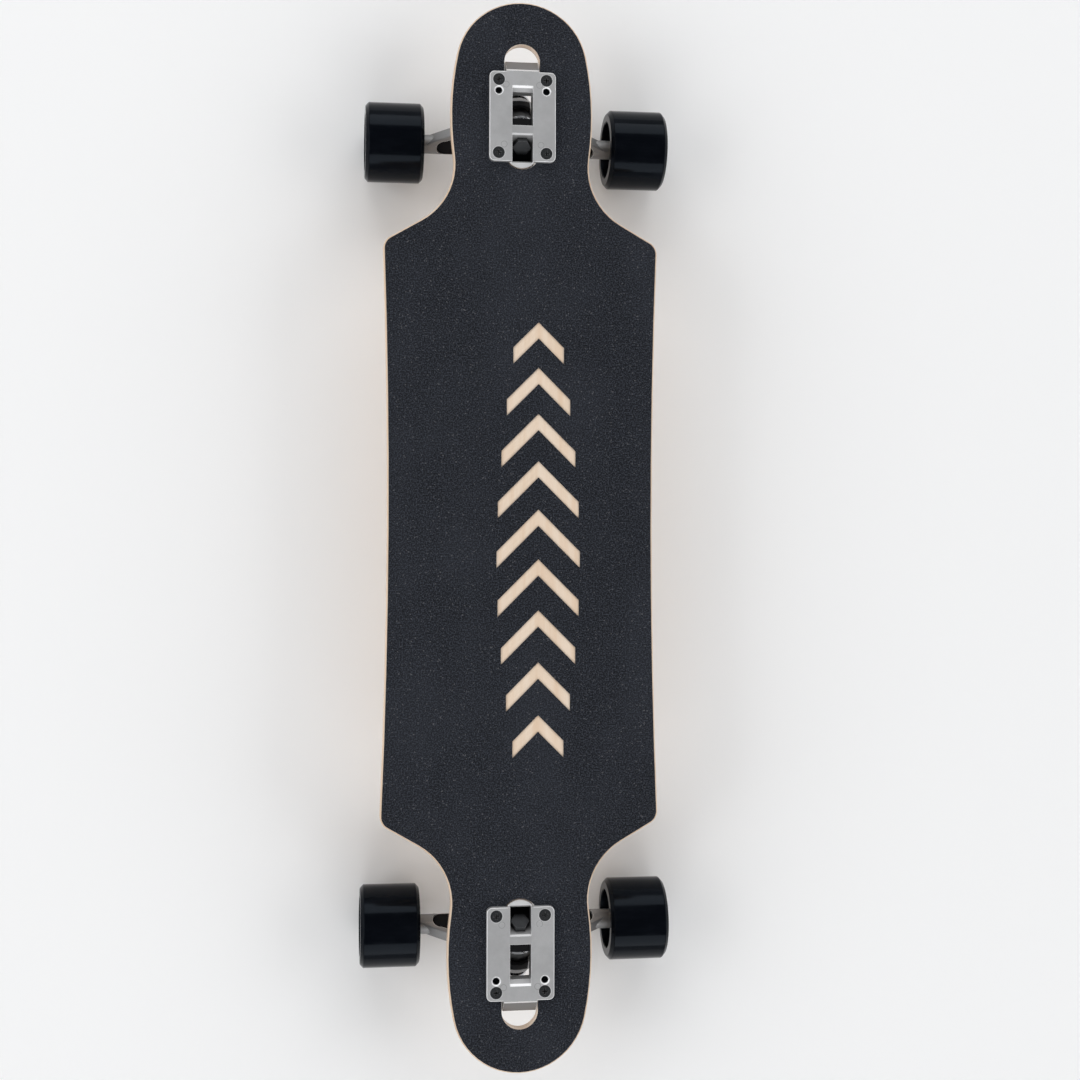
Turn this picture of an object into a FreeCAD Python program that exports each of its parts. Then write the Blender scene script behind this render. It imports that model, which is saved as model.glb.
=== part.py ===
"""Drop-through longboard with two reverse-kingpin trucks.

Lengths are millimetres. +Y points to the nose, +X to the rider's right, +Z up, and Z = 0 is
the ground under the wheels. The rear truck is the front truck turned half round about Z.
"""
import math
import os

import FreeCAD
import Part

V = FreeCAD.Vector
X_AXIS = V(1, 0, 0)
Z_AXIS = V(0, 0, 1)

# Board
DECK_LENGTH = 914.0
DECK_TOP = 90.0            # height of the grip surface
DECK_THICK = 11.0          # maple and grip tape together
GRIP_THICK = 0.8
GRIP_INSET = 1.3           # bare maple left round the edge
EDGE_ROUND = 1.2
SIDE_CENTRE = V(-198.3, 358.0)
SIDE_R = 260.0             # gentle bow along the nose and tail
NECK_Y = 314.0
NECK_R = 56.0              # hollow cut beside each wheel
SHOULDER_DEG = 30.0        # slope of the straight shoulder behind the neck
CORNER_R = 12.0
WAIST_HALF = 114.0
WAIST_R = 6160.0
SLOT_HALF = 15.5
SLOT_Y = (310.8, 420.4)    # drop-through slot, inboard and outboard ends

# Chevron cut-out in the grip tape
CHEVRONS = 9
CHEVRON_PITCH = 42.0
CHEVRON_X = 15.0
CHEVRON_STROKE = 10.0
CHEVRON_WIDTH = (38.0, 72.0)

# Truck, measured from the plate centre at deck-top height
PLATE_Y = 356.0
PLATE_SIZE = (57.5, 78.0, 5.0)
PLATE_CORNER = 4.5
BODY_WIDTH = 28.4
HORN_WIDTH = 20.0
HOLE_X = 20.64
HOLE_Y = 31.75
SPARE_Y = 22.2             # second pair of holes, left free
SPARE_R = 2.75
WINDOW_HALF = 9.0
WINDOW_Y = (-7.8, 21.9)
HEAD_WINDOW_Y = -14.5
HEAD_WALL_Y = -38.2        # thin wall between the kingpin head and the end of the slot
LEDGE_Z = -0.4             # top of that wall and of the ledge beyond it
STEER_DEG = 50.0
AXLE_SETBACK = 12.8        # axle is this far inboard of the plate centre
AXLE_DROP = 55.0
RING_REACH = 33.0          # from axle to bushing ring along the steering axis
PIVOT_FACE = 41.5          # from ring to the open face of the pivot housing
PIVOT_END = 52.5
HOUSING_R = 10.0
CUP_R = 8.0
NOSE_R = 5.5

# Kingpin stack, measured from the ring centre, positive away from the deck
KING_R = 4.75
SEAT = -21.0
HEAD = -40.0
HEAD_HEIGHT = 5.2
HEAD_ACROSS = 13.8
KING_TIP = 29.0
RING_HALF = 5.5
RING_SEAT = 4.0
RING_R = 16.0
BUSHING_R = 12.3
ROAD_TOP = 17.0
WASHER_T = 1.5

# Hanger, axle and wheel
SHOULDER_X = 90.0
ARM_R = (9.0, 8.25)        # at the centre and by the wheel
WING = (-7.5, 5.5)         # kingpin stations of the wing faces
POCKET_FLOOR = -5.4        # floor of the wing hollows, just clear of the axle bore
AXLE_R = 4.0
AXLE_HALF = 124.5
WHEEL_R = 35.0
WHEEL_X = 108.0
WHEEL_HALF = 25.5
WHEEL_LIP = 3.0            # bevel between tread and face
WHEEL_FACE_R = 31.8
LIP_ROUND = 1.4
WHEEL_BORE_R = 24.0
BEARING_X = (94.5, 111.5)  # bearing centres
BEARING_R = (4.0, 11.0)
BEARING_W = 7.0
BALL_R = 1.984
BALLS = 7
PITCH_R = 7.5
SPOKES = 8
GAP = 0.04                 # running clearance on a radius

STEER = V(0, math.cos(math.radians(STEER_DEG)), math.sin(math.radians(STEER_DEG)))
KING = V(0, STEER.z, -STEER.y)
AXLE_POINT = V(0, -AXLE_SETBACK, -AXLE_DROP)
RING = AXLE_POINT + STEER * RING_REACH


# ---------------------------------------------------------------- helpers
def steer_point(along, across, x=0.0):
    """Point given along the steering axis and along the kingpin, from the ring centre."""
    return RING + STEER * along + KING * across + V(x, 0, 0)


def cylinder(radius, start, end, origin, axis):
    return Part.makeCylinder(radius, end - start, origin + axis * start, axis)


def tube(outer, inner, start, end, origin, axis):
    body = cylinder(outer, start, end, origin, axis)
    return body.cut(cylinder(inner, start - 1, end + 1, origin, axis))


def cone(r_start, r_end, start, end, origin, axis):
    return Part.makeCone(r_start, r_end, end - start, origin + axis * start, axis)


def slab(points, thickness):
    """Flat polygon pushed out along the given vector."""
    return Part.Face(Part.makePolygon(points + points[:1])).extrude(thickness)


def hexagon(across, start, end, origin, axis):
    radius = across / math.sqrt(3)
    angles = [math.radians(60 * i) for i in range(6)]
    body = slab([V(radius * math.cos(a), radius * math.sin(a), 0) for a in angles], Z_AXIS * (end - start))
    body.Placement = FreeCAD.Placement(origin + axis * start, FreeCAD.Rotation(Z_AXIS, axis))
    return body


def turned(profile):
    """Solid of revolution about X from (x, radius) corners."""
    points = [V(x, 0, r) for x, r in profile]
    return Part.Face(Part.makePolygon(points + points[:1])).revolve(V(0, 0, 0), X_AXIS, 360)


def arc(centre, start, end):
    """Shorter arc from start to end about centre."""
    radius = (start - centre).Length
    middle = (start - centre) + (end - centre)
    return Part.Arc(start, centre + middle.normalize() * radius, end).toShape()


def box(x_half, y_range, z_range):
    corner = V(-x_half, y_range[0], z_range[0])
    return Part.makeBox(2 * x_half, y_range[1] - y_range[0], z_range[1] - z_range[0], corner)


def in_truck(shape):
    return shape.translated(V(0, PLATE_Y, DECK_TOP))


def half_turn(shape):
    return shape.rotated(V(0, 0, 0), Z_AXIS, 180)


def toward(start, end):
    return (end - start).normalize()


def screw_spots():
    return [(x, y) for x in (-HOLE_X, HOLE_X) for y in (-HOLE_Y, HOLE_Y)]


def spare_spots():
    return [(x, SPARE_Y) for x in (-HOLE_X, HOLE_X)]


# ---------------------------------------------------------------- deck
def quadrant(inset):
    """Deck edge from the nose tip to the middle of the right side."""
    tip_y = DECK_LENGTH / 2
    reach = SIDE_R - tip_y
    centre_y = (SIDE_CENTRE.Length ** 2 - reach ** 2) / (2 * (SIDE_CENTRE.y + reach))
    tip = V(0, centre_y)
    neck_reach = math.sqrt((SIDE_R + NECK_R) ** 2 - (SIDE_CENTRE.y - NECK_Y) ** 2)
    neck = V(SIDE_CENTRE.x + neck_reach, NECK_Y)
    slope = math.radians(SHOULDER_DEG)
    normal = V(math.sin(slope), math.cos(slope))
    run = V(math.cos(slope), -math.sin(slope))
    waist = V(WAIST_HALF + WAIST_R, 0)
    level = normal.dot(neck) - NECK_R - CORNER_R
    across = (WAIST_R + CORNER_R) ** 2 - (level - normal.dot(waist)) ** 2
    corner = normal * level + run * (run.dot(waist) - math.sqrt(across))

    nose_end = V(0, tip_y - inset)
    side_start = SIDE_CENTRE + toward(SIDE_CENTRE, tip) * (SIDE_R - inset)
    side_end = SIDE_CENTRE + toward(SIDE_CENTRE, neck) * (SIDE_R - inset)
    neck_end = neck - normal * (NECK_R + inset)
    corner_start = corner + normal * (CORNER_R - inset)
    corner_end = corner + toward(corner, waist) * (CORNER_R - inset)
    return [
        arc(tip, nose_end, side_start),
        arc(SIDE_CENTRE, side_start, side_end),
        arc(neck, side_end, neck_end),
        Part.makeLine(neck_end, corner_start),
        arc(corner, corner_start, corner_end),
        arc(waist, corner_end, V(WAIST_HALF - inset, 0)),
    ]


def board_slab(inset, bottom, top):
    quarter = Part.Wire(quadrant(inset))
    right = [quarter, quarter.mirror(V(0, 0, 0), V(0, 1, 0))]
    left = [wire.mirror(V(0, 0, 0), X_AXIS) for wire in right]
    edges = [edge for wire in right + left for edge in wire.Edges]
    face = Part.Face(Part.Wire(Part.__sortEdges__(edges)))
    return face.translated(V(0, 0, bottom)).extrude(Z_AXIS * (top - bottom))


def board_cutters(hole_r):
    """Drop-through slots and screw holes, through the whole deck."""
    low = DECK_TOP - DECK_THICK - 5
    height = DECK_THICK + 10
    ends = [SLOT_Y[0] + SLOT_HALF, SLOT_Y[1] - SLOT_HALF]
    tools = [box(SLOT_HALF, ends, (low, low + height))]
    tools += [Part.makeCylinder(SLOT_HALF, height, V(0, y, low)) for y in ends]
    tools += [Part.makeCylinder(hole_r, height, V(x, PLATE_Y + y, low)) for x, y in screw_spots()]
    return tools + [half_turn(tool) for tool in tools]


def deck():
    wood = board_slab(0, DECK_TOP - DECK_THICK, DECK_TOP - GRIP_THICK)
    rims = [e for e in wood.Edges if e.BoundBox.ZLength < 0.01]
    return wood.makeFillet(EDGE_ROUND, rims).cut(board_cutters(2.7))


def chevron(index):
    place = (index + 0.5) / CHEVRONS
    low, high = CHEVRON_WIDTH
    half = (low + (high - low) * math.sin(math.pi * place)) / 2
    tip = CHEVRON_PITCH * (index - (CHEVRONS - 1) / 2) + half / 2
    outer = [V(half, tip - half), V(0, tip), V(-half, tip - half)]
    inner = [point - V(0, CHEVRON_STROKE * math.sqrt(2)) for point in reversed(outer)]
    return slab([p + V(CHEVRON_X, 0, DECK_TOP - 2) for p in outer + inner], Z_AXIS * 4)


def grip_tape():
    sheet = board_slab(GRIP_INSET, DECK_TOP - GRIP_THICK, DECK_TOP)
    return sheet.cut(board_cutters(2.9) + [chevron(i) for i in range(CHEVRONS)])


# ---------------------------------------------------------------- baseplate
def flange():
    width, length, thick = PLATE_SIZE
    plate = box(width / 2, (-length / 2, length / 2), (0, thick))
    plate = plate.makeFillet(PLATE_CORNER, [e for e in plate.Edges if e.BoundBox.ZLength > 1])
    return plate.makeFillet(0.8, [e for e in plate.Edges if e.BoundBox.ZMin > thick - 0.01])


def side_profile(points, width):
    return slab([V(-width / 2, p.y, p.z) for p in points], X_AXIS * width)


def slot_plug():
    """Upright prism that passes through the slot with room all round, rounded at its inboard end."""
    half = BODY_WIDTH / 2
    end = SLOT_Y[0] + SLOT_HALF - PLATE_Y
    low, high = -70, 6
    return box(half, (end, 60), (low, high)).fuse(Part.makeCylinder(half, high - low, V(0, end, low)))


def plate_body():
    """Block through the slot: sloped outboard tab, kingpin wall, inboard ledge and pivot horn."""
    wall_top = steer_point(13, SEAT + 0.5)
    wall_foot = steer_point(-14, SEAT + 0.5)
    block = [V(0, -39, 5), V(0, 39.5, 5), V(0, 50, -5.5), V(0, 50, -11), V(0, 26, -11)]
    block += [wall_top, wall_foot, V(0, -24, -35), V(0, -41, -35)]
    block += [V(0, -44, -12), V(0, -44, LEDGE_Z - 1), V(0, -39, LEDGE_Z)]
    horn = [wall_foot, steer_point(-26, -13.5), steer_point(-PIVOT_FACE, -13.5)]
    horn += [steer_point(-PIVOT_FACE, -8), steer_point(-PIVOT_END, -8)]
    horn += [V(0, -38, -59), V(0, -42, -49), V(0, -41, -30), V(0, -24, -30)]
    housing = cylinder(HOUSING_R, PIVOT_FACE, PIVOT_END, RING, -STEER)
    return [side_profile(block, BODY_WIDTH).common(slot_plug()), side_profile(horn, HORN_WIDTH), housing]


def head_recess():
    """Room for the kingpin head, floored by the plane it is pulled against, and a notch over its end wall."""
    floor = [steer_point(a, c) for a, c in ((-60, HEAD), (60, HEAD), (60, -90), (-60, -90))]
    room = side_profile(floor, 2 * WINDOW_HALF)
    notch = box(WINDOW_HALF, (-60, HEAD_WALL_Y + 1), (LEDGE_Z, 20))
    return [room.common(box(WINDOW_HALF, (HEAD_WALL_Y, HEAD_WINDOW_Y), (-60, 20))), notch]


def bushing_window():
    """Opening through which the inner bushing and the ring show, outboard of the kingpin wall."""
    shelf = box(WINDOW_HALF, WINDOW_Y, (-6, 20))
    drop = [steer_point(a, c) for a, c in ((-60, SEAT), (60, SEAT), (60, 60), (-60, 60))]
    through = side_profile(drop, 2 * WINDOW_HALF).common(box(WINDOW_HALF, WINDOW_Y, (-30, 20)))
    return [shelf, through]


def window_ramp():
    y = WINDOW_Y[1]
    return side_profile([V(0, y, 6), V(0, y, 1), V(0, y + 5, 5), V(0, y + 5, 6)], 2 * WINDOW_HALF)


def screw_holes():
    tools = []
    for x, y in screw_spots():
        tools.append(Part.makeCylinder(2.6, 30, V(x, y, -20)))
        tools.append(Part.makeCone(2.6, 5.4, 2.6, V(x, y, 2.4)))
    for x, y in spare_spots():
        tools.append(Part.makeCylinder(SPARE_R, 10, V(x, y, -2)))
        tools.append(Part.makeCone(SPARE_R, SPARE_R + 1.25, 1.3, V(x, y, 3.7)))
    return tools


def baseplate():
    solid = flange().fuse(plate_body())
    tools = [
        cylinder(KING_R + GAP, -60, 40, RING, KING),
        cylinder(BUSHING_R + 2.6, SEAT, 40, RING, KING),
        Part.makeSphere(RING_R + 2.6, RING),
        cylinder(CUP_R + GAP, 0, PIVOT_FACE + 7.6, RING, -STEER),
        window_ramp(),
    ]
    return solid.cut(tools + head_recess() + bushing_window() + screw_holes()).removeSplitter()


def pivot_cup():
    lip = cylinder(CUP_R + 1.2, PIVOT_FACE - 1, PIVOT_FACE, RING, -STEER)
    cup = lip.fuse(cylinder(CUP_R, PIVOT_FACE, PIVOT_FACE + 7.5, RING, -STEER))
    return cup.cut(cylinder(NOSE_R + GAP, PIVOT_FACE - 2, PIVOT_FACE + 6, RING, -STEER))


# ---------------------------------------------------------------- kingpin stack
def kingpin():
    shank = cylinder(KING_R, HEAD, KING_TIP - 1, RING, KING)
    point = cone(KING_R, KING_R - 1, KING_TIP - 1, KING_TIP, RING, KING)
    return hexagon(HEAD_ACROSS, HEAD - HEAD_HEIGHT, HEAD, RING, KING).fuse([shank, point]).removeSplitter()


def kingpin_nut():
    start = ROAD_TOP + WASHER_T
    nut = hexagon(15.0, start, start + 6, RING, KING)
    nut = nut.fuse(cylinder(6.6, start + 6, start + 8.5, RING, KING))
    return nut.cut(cylinder(KING_R + GAP, start - 1, start + 10, RING, KING))


def cup_washer(seat, direction, radius):
    """Dished washer whose lip reaches from the seat towards the bushing."""
    disc = cylinder(radius, 0, WASHER_T, RING + KING * seat, direction)
    lip = tube(radius, radius - 1.1, WASHER_T, WASHER_T + 1.4, RING + KING * seat, direction)
    return disc.fuse(lip).cut(cylinder(KING_R + 0.3, -1, 4, RING + KING * seat, direction))


def bushing_washers():
    upper = cup_washer(SEAT, KING, BUSHING_R + 1.7)
    lower = cup_washer(ROAD_TOP + WASHER_T, -KING, BUSHING_R - 0.6)
    return Part.makeCompound([upper, lower])


def bushing(profile):
    """Urethane ring turned about the kingpin from (position, radius) corners."""
    bore = KING_R + 0.3
    corners = [(profile[0][0], bore)] + profile + [(profile[-1][0], bore)]
    points = [V(r, 0, s) for s, r in corners]
    body = Part.Face(Part.makePolygon(points + points[:1])).revolve(V(0, 0, 0), Z_AXIS, 360)
    body.Placement = FreeCAD.Placement(RING, FreeCAD.Rotation(Z_AXIS, KING))
    return body


def boardside_bushing():
    top = SEAT + WASHER_T
    r = BUSHING_R
    return bushing([(top, r - 1), (top + 1, r), (-RING_SEAT - 1, r), (-RING_SEAT, r - 1)])


def roadside_bushing():
    r = BUSHING_R
    return bushing([(RING_SEAT, r - 1), (RING_SEAT + 1, r), (8, r), (ROAD_TOP - 1, 9.8), (ROAD_TOP, 9)])


# ---------------------------------------------------------------- hanger
def wing_slab(points, start, end):
    """Polygon of (x, distance from the axle towards the ring) between two kingpin stations."""
    corners = [steer_point(s - RING_REACH, start, x) for x, s in points]
    return slab(corners, KING * (end - start))


def wings():
    right = [(80, -5), (80, 5), (72, 9), (60, 14.5), (40, 21), (14, 40)]
    left = [(-x, s) for x, s in reversed(right)]
    body = wing_slab(right + left, *WING)
    return body.makeFillet(1.5, body.Edges)


def wing_pockets():
    """Round-ended hollows in the deck-facing side of both wings and the arms below them."""
    tools = []
    depth = (WING[0] - 6, POCKET_FLOOR)
    half, middle, end_x = 7.5, 1.5, 63
    for side in (-1, 1):
        low, high = middle - half, middle + half
        corners = [(22, low), (end_x, low), (end_x, high), (50, 14), (40, 17.5), (22, 28)]
        tools.append(wing_slab([(side * x, s) for x, s in corners], *depth))
        end = steer_point(middle - RING_REACH, 0, side * end_x)
        tools.append(cylinder(half, depth[0], depth[1], end, KING))
    return tools


def hanger():
    arms = [cone(ARM_R[0], ARM_R[1], 0, SHOULDER_X, AXLE_POINT, axis) for axis in (X_AXIS, -X_AXIS)]
    ring = cylinder(RING_R, -RING_HALF, RING_HALF, RING, KING)
    body = wings().fuse(arms + [ring])
    far = PIVOT_FACE - 1.5
    flat = [steer_point(-far, -20), steer_point(-far, 20), steer_point(-80, 20), steer_point(-80, -20)]
    tools = [cylinder(7.2, -30, 30, RING, KING), side_profile(flat, 26)] + wing_pockets()
    for axis in (KING, -KING):
        tools.append(cylinder(13.0, RING_SEAT, 30, RING, axis))
        tools.append(cylinder(14.8, RING_HALF, 30, RING, axis))
    body = body.cut(tools)
    nose = [cone(8, NOSE_R, RING_REACH, far, RING, -STEER)]
    nose.append(cylinder(NOSE_R, far, PIVOT_FACE + 4.5, RING, -STEER))
    nose.append(cone(NOSE_R, NOSE_R - 1, PIVOT_FACE + 4.5, PIVOT_FACE + 5.5, RING, -STEER))
    bore = cylinder(AXLE_R + GAP, -100, 100, AXLE_POINT, X_AXIS)
    return body.fuse(nose).cut(bore).removeSplitter()


def axle():
    rod = cylinder(AXLE_R, -AXLE_HALF + 1, AXLE_HALF - 1, AXLE_POINT, X_AXIS)
    tips = [cone(AXLE_R, AXLE_R - 0.8, AXLE_HALF - 1, AXLE_HALF, AXLE_POINT, a) for a in (X_AXIS, -X_AXIS)]
    return rod.fuse(tips).removeSplitter()


def axle_nuts():
    start = BEARING_X[1] + BEARING_W / 2 + 1
    nuts = []
    for axis in (X_AXIS, -X_AXIS):
        nut = hexagon(12.7, start, start + 5.6, AXLE_POINT, axis)
        nut = nut.fuse(cylinder(5.5, start + 5.6, start + 7.5, AXLE_POINT, axis))
        nuts.append(nut.cut(cylinder(AXLE_R + GAP, start - 1, start + 9, AXLE_POINT, axis)))
    return Part.makeCompound(nuts)


def speed_washers():
    stations = (SHOULDER_X, BEARING_X[1] + BEARING_W / 2)
    rings = [tube(5.9, AXLE_R + 0.1, x, x + 1, AXLE_POINT, a) for a in (X_AXIS, -X_AXIS) for x in stations]
    return Part.makeCompound(rings)


# ---------------------------------------------------------------- deck hardware
def at_screws(make):
    return Part.makeCompound([make(V(x, y, 0)) for x, y in screw_spots()])


def deck_screw(spot):
    head = Part.makeCone(2.4, 5.2, 2.6, spot + V(0, 0, 2.3))
    shank = Part.makeCylinder(2.4, 21.3, spot + V(0, 0, -19))
    arm = Part.makeBox(5.4, 1.2, 2.2, V(-2.7, -0.6, 3.2))
    cross = [arm.translated(spot), arm.rotated(V(0, 0, 0), Z_AXIS, 90).translated(spot)]
    return head.fuse(shank).cut(cross)


def deck_nut(spot):
    nut = hexagon(9.5, 0, 4, spot - V(0, 0, DECK_THICK), -Z_AXIS)
    nut = nut.fuse(cylinder(4.2, 4, 5.6, spot - V(0, 0, DECK_THICK), -Z_AXIS))
    return nut.cut(Part.makeCylinder(2.4 + GAP, 10, spot - V(0, 0, DECK_THICK + 8)))


# ---------------------------------------------------------------- wheel
def tyre():
    tread = WHEEL_HALF - WHEEL_LIP
    profile = [(-WHEEL_HALF, WHEEL_FACE_R), (-tread, WHEEL_R), (tread, WHEEL_R), (WHEEL_HALF, WHEEL_FACE_R)]
    profile += [(WHEEL_HALF, 25.4), (WHEEL_HALF - 1, 24.8), (7.5, WHEEL_BORE_R)]
    profile += [(-17.5, WHEEL_BORE_R), (-WHEEL_HALF + 1, 24.8), (-WHEEL_HALF, 25.4)]
    body = turned(profile)
    lips = [e for e in body.Edges if isinstance(e.Curve, Part.Circle) and e.Curve.Radius > 30]
    return body.makeFillet(LIP_ROUND, lips)


def core():
    start = BEARING_X[0] - BEARING_W / 2 - WHEEL_X
    end = BEARING_X[1] + BEARING_W / 2 - WHEEL_X
    origin = V(0, 0, 0)
    rim = tube(WHEEL_BORE_R - 0.05, 20.6, start + 0.4, end - 0.4, origin, X_AXIS)
    hub = tube(14.6, 8.6, start + 0.2, end - 0.2, origin, X_AXIS)
    spoke = Part.makeBox(end - start - 4, 3.0, 8.0, V(start + 2, -1.5, 13.8))
    spokes = [spoke.rotated(origin, X_AXIS, 360.0 * i / SPOKES) for i in range(SPOKES)]
    body = rim.fuse([hub] + spokes)
    seats = [cylinder(BEARING_R[1] + GAP, start - 1, start + BEARING_W, origin, X_AXIS)]
    seats.append(cylinder(BEARING_R[1] + GAP, end - BEARING_W, end + 1, origin, X_AXIS))
    return body.cut(seats).removeSplitter()


def per_bearing(make):
    return Part.makeCompound([s for x in BEARING_X for s in make(V(x - WHEEL_X, 0, 0))])


def race(outer, inner, centre):
    groove = Part.makeTorus(PITCH_R, BALL_R + GAP, centre, X_AXIS)
    return tube(outer, inner, -BEARING_W / 2, BEARING_W / 2, centre, X_AXIS).cut(groove)


def outer_ring(centre):
    ring = race(BEARING_R[1], 9.0, centre)
    steps = [tube(9.6, 8.0, BEARING_W / 2 - 0.7, BEARING_W / 2 + 1, centre, a) for a in (X_AXIS, -X_AXIS)]
    return [ring.cut(steps)]


def inner_ring(centre):
    return [race(6.05, BEARING_R[0] + GAP, centre)]


def shields(centre):
    start = BEARING_W / 2 - 0.65
    return [tube(9.55, 6.3, start, start + 0.35, centre, a) for a in (X_AXIS, -X_AXIS)]


def ball_centres(centre):
    angles = [2 * math.pi * i / BALLS for i in range(BALLS)]
    return [centre + V(0, PITCH_R * math.cos(a), PITCH_R * math.sin(a)) for a in angles]


def balls(centre):
    return [Part.makeSphere(BALL_R, point) for point in ball_centres(centre)]


def cage(centre):
    ring = tube(8.4, 6.7, -2.3, 2.3, centre, X_AXIS)
    return [ring.cut([Part.makeSphere(BALL_R + 0.08, point) for point in ball_centres(centre)])]


def spacer():
    start = BEARING_X[0] + BEARING_W / 2 - WHEEL_X
    end = BEARING_X[1] - BEARING_W / 2 - WHEEL_X
    return tube(5.6, AXLE_R + 0.1, start, end, V(0, 0, 0), X_AXIS)


WHEEL_NODES = {
    "tyre": tyre,
    "core": core,
    "bearing_outer_rings": lambda: per_bearing(outer_ring),
    "bearing_shields": lambda: per_bearing(shields),
    "bearing_inner_rings": lambda: per_bearing(inner_ring),
    "bearing_balls": lambda: per_bearing(balls),
    "bearing_cages": lambda: per_bearing(cage),
    "bearing_spacer": spacer,
}

TRUCK_NODES = {
    "baseplate": baseplate,
    "pivot_cup": pivot_cup,
    "kingpin": kingpin,
    "kingpin_nut": kingpin_nut,
    "bushing_washers": bushing_washers,
    "boardside_bushing": boardside_bushing,
    "roadside_bushing": roadside_bushing,
    "hanger": hanger,
    "axle": axle,
    "axle_nuts": axle_nuts,
    "speed_washers": speed_washers,
    "deck_screws": lambda: at_screws(deck_screw),
    "deck_nuts": lambda: at_screws(deck_nut),
}


def save(shape, node):
    shape.exportStep("parts/%s.step" % node)


def wheel_at(shape, end, side):
    """Put a wheel part on its axle; the left side is the right one turned half round."""
    moved = shape.translated(V(WHEEL_X, 0, 0))
    if side < 0:
        moved = half_turn(moved)
    return moved.translated(V(0, end * (PLATE_Y - AXLE_SETBACK), DECK_TOP - AXLE_DROP))


def main():
    os.makedirs("parts", exist_ok=True)
    save(deck(), "deck")
    save(grip_tape(), "grip_tape")
    for name, make in TRUCK_NODES.items():
        shape = in_truck(make())
        save(shape, "front_" + name)
        save(half_turn(shape), "rear_" + name)
    for name, make in WHEEL_NODES.items():
        shape = make()
        for end, end_name in ((1, "front"), (-1, "rear")):
            for side, side_name in ((-1, "left"), (1, "right")):
                save(wheel_at(shape, end, side), "%s_%s_%s" % (end_name, side_name, name))


main()
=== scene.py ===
"""Finishes, grit, threads and casting marks for a drop-through longboard, with its studio stage.

Metres throughout. +Y is the nose, +X the rider's right, +Z up, and Z = 0 is the ground.
"""
import math

import bpy
from mathutils import Matrix, Vector


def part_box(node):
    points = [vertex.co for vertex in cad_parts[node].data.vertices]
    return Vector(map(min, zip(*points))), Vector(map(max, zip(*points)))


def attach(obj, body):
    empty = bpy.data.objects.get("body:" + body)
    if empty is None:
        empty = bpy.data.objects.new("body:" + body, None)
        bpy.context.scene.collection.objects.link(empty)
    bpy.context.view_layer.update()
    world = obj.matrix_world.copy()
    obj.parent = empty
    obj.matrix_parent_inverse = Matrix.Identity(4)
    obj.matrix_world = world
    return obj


bl_info = {
    "name": "Longboard finishes",
    "version": (1, 0, 0),
    "blender": (4, 5, 0),
    "location": "3D View > Sidebar > Longboard",
    "description": "Dresses the packed longboard: maple, grit, cast trucks, urethane wheels and the studio",
    "category": "Object",
}

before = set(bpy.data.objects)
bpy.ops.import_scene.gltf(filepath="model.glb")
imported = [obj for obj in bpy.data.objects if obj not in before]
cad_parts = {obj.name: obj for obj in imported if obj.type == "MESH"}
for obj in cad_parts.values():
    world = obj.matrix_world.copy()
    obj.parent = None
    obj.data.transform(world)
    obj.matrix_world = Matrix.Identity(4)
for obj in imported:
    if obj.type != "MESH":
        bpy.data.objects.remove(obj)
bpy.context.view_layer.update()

ENDS = {"front": 1, "rear": -1}
SIDES = {"left": -1, "right": 1}
MM = 0.001

# Layout shared with the packed parts; spots on a plate are counted from its middle
STEER_ANGLE = math.radians(50)
PLATE_Y = 356 * MM
PLATE_END = 39 * MM         # half length of a plate
PLATE_TOP = 95 * MM
WINDOW_HALF = 9 * MM
WINDOW_END = 19.5 * MM      # deep painted shade up to here, short of the ramp
SCREW_HALF = (20.64 * MM, 31.75 * MM)
CROSS_R = 2.9 * MM
SPARE_HOLE = (20.64 * MM, 22.2 * MM)
SPARE_R = 2.75 * MM
PIN_MARKS = ((16.0 * MM, -24.5 * MM), (14.5 * MM, 27.5 * MM))
RING_Y = 364.41 * MM
RING_HEIGHT = 60.28 * MM
POCKET_FLOOR = -5.4 * MM    # kingpin station of the floor of the wing hollows
POCKET_X = 22 * MM          # where the hollows start
SCREW_THREAD_R = 2.35 * MM
KINGPIN_THREAD_R = 4.6 * MM
KINGPIN_THREAD_START = 26.5 * MM    # from the ring centre along the kingpin
CARRIED = {
    "grip_tape": "grip",
    "baseplate": "cast_aluminium",
    "hanger": "cast_aluminium",
    "pivot_cup": "cup_rubber",
    "kingpin": "black_steel",
    "deck_screws": "black_steel",
    "deck_nuts": "black_steel",
    "kingpin_nut": "zinc_steel",
    "bushing_washers": "zinc_steel",
    "axle": "zinc_steel",
    "axle_nuts": "zinc_steel",
    "speed_washers": "zinc_steel",
    "boardside_bushing": "bushing_urethane",
    "roadside_bushing": "bushing_urethane",
    "tyre": "wheel_urethane",
    "core": "core_plastic",
    "bearing_outer_rings": "bearing_steel",
    "bearing_inner_rings": "bearing_steel",
    "bearing_balls": "bearing_steel",
    "bearing_shields": "shield_rubber",
    "bearing_cages": "cage_plastic",
    "bearing_spacer": "spacer_aluminium",
}


# ------------------------------------------------------------------ settings
def colour_setting(name, description, default):
    return bpy.props.FloatVectorProperty(
        name=name, description=description, default=default, size=3, min=0, max=1, subtype="COLOR")


def length_setting(name, description, default):
    return bpy.props.FloatProperty(
        name=name, description=description, default=default, min=0, precision=5, unit="LENGTH")


def plain_setting(name, description, default):
    return bpy.props.FloatProperty(name=name, description=description, default=default, min=0)


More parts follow.
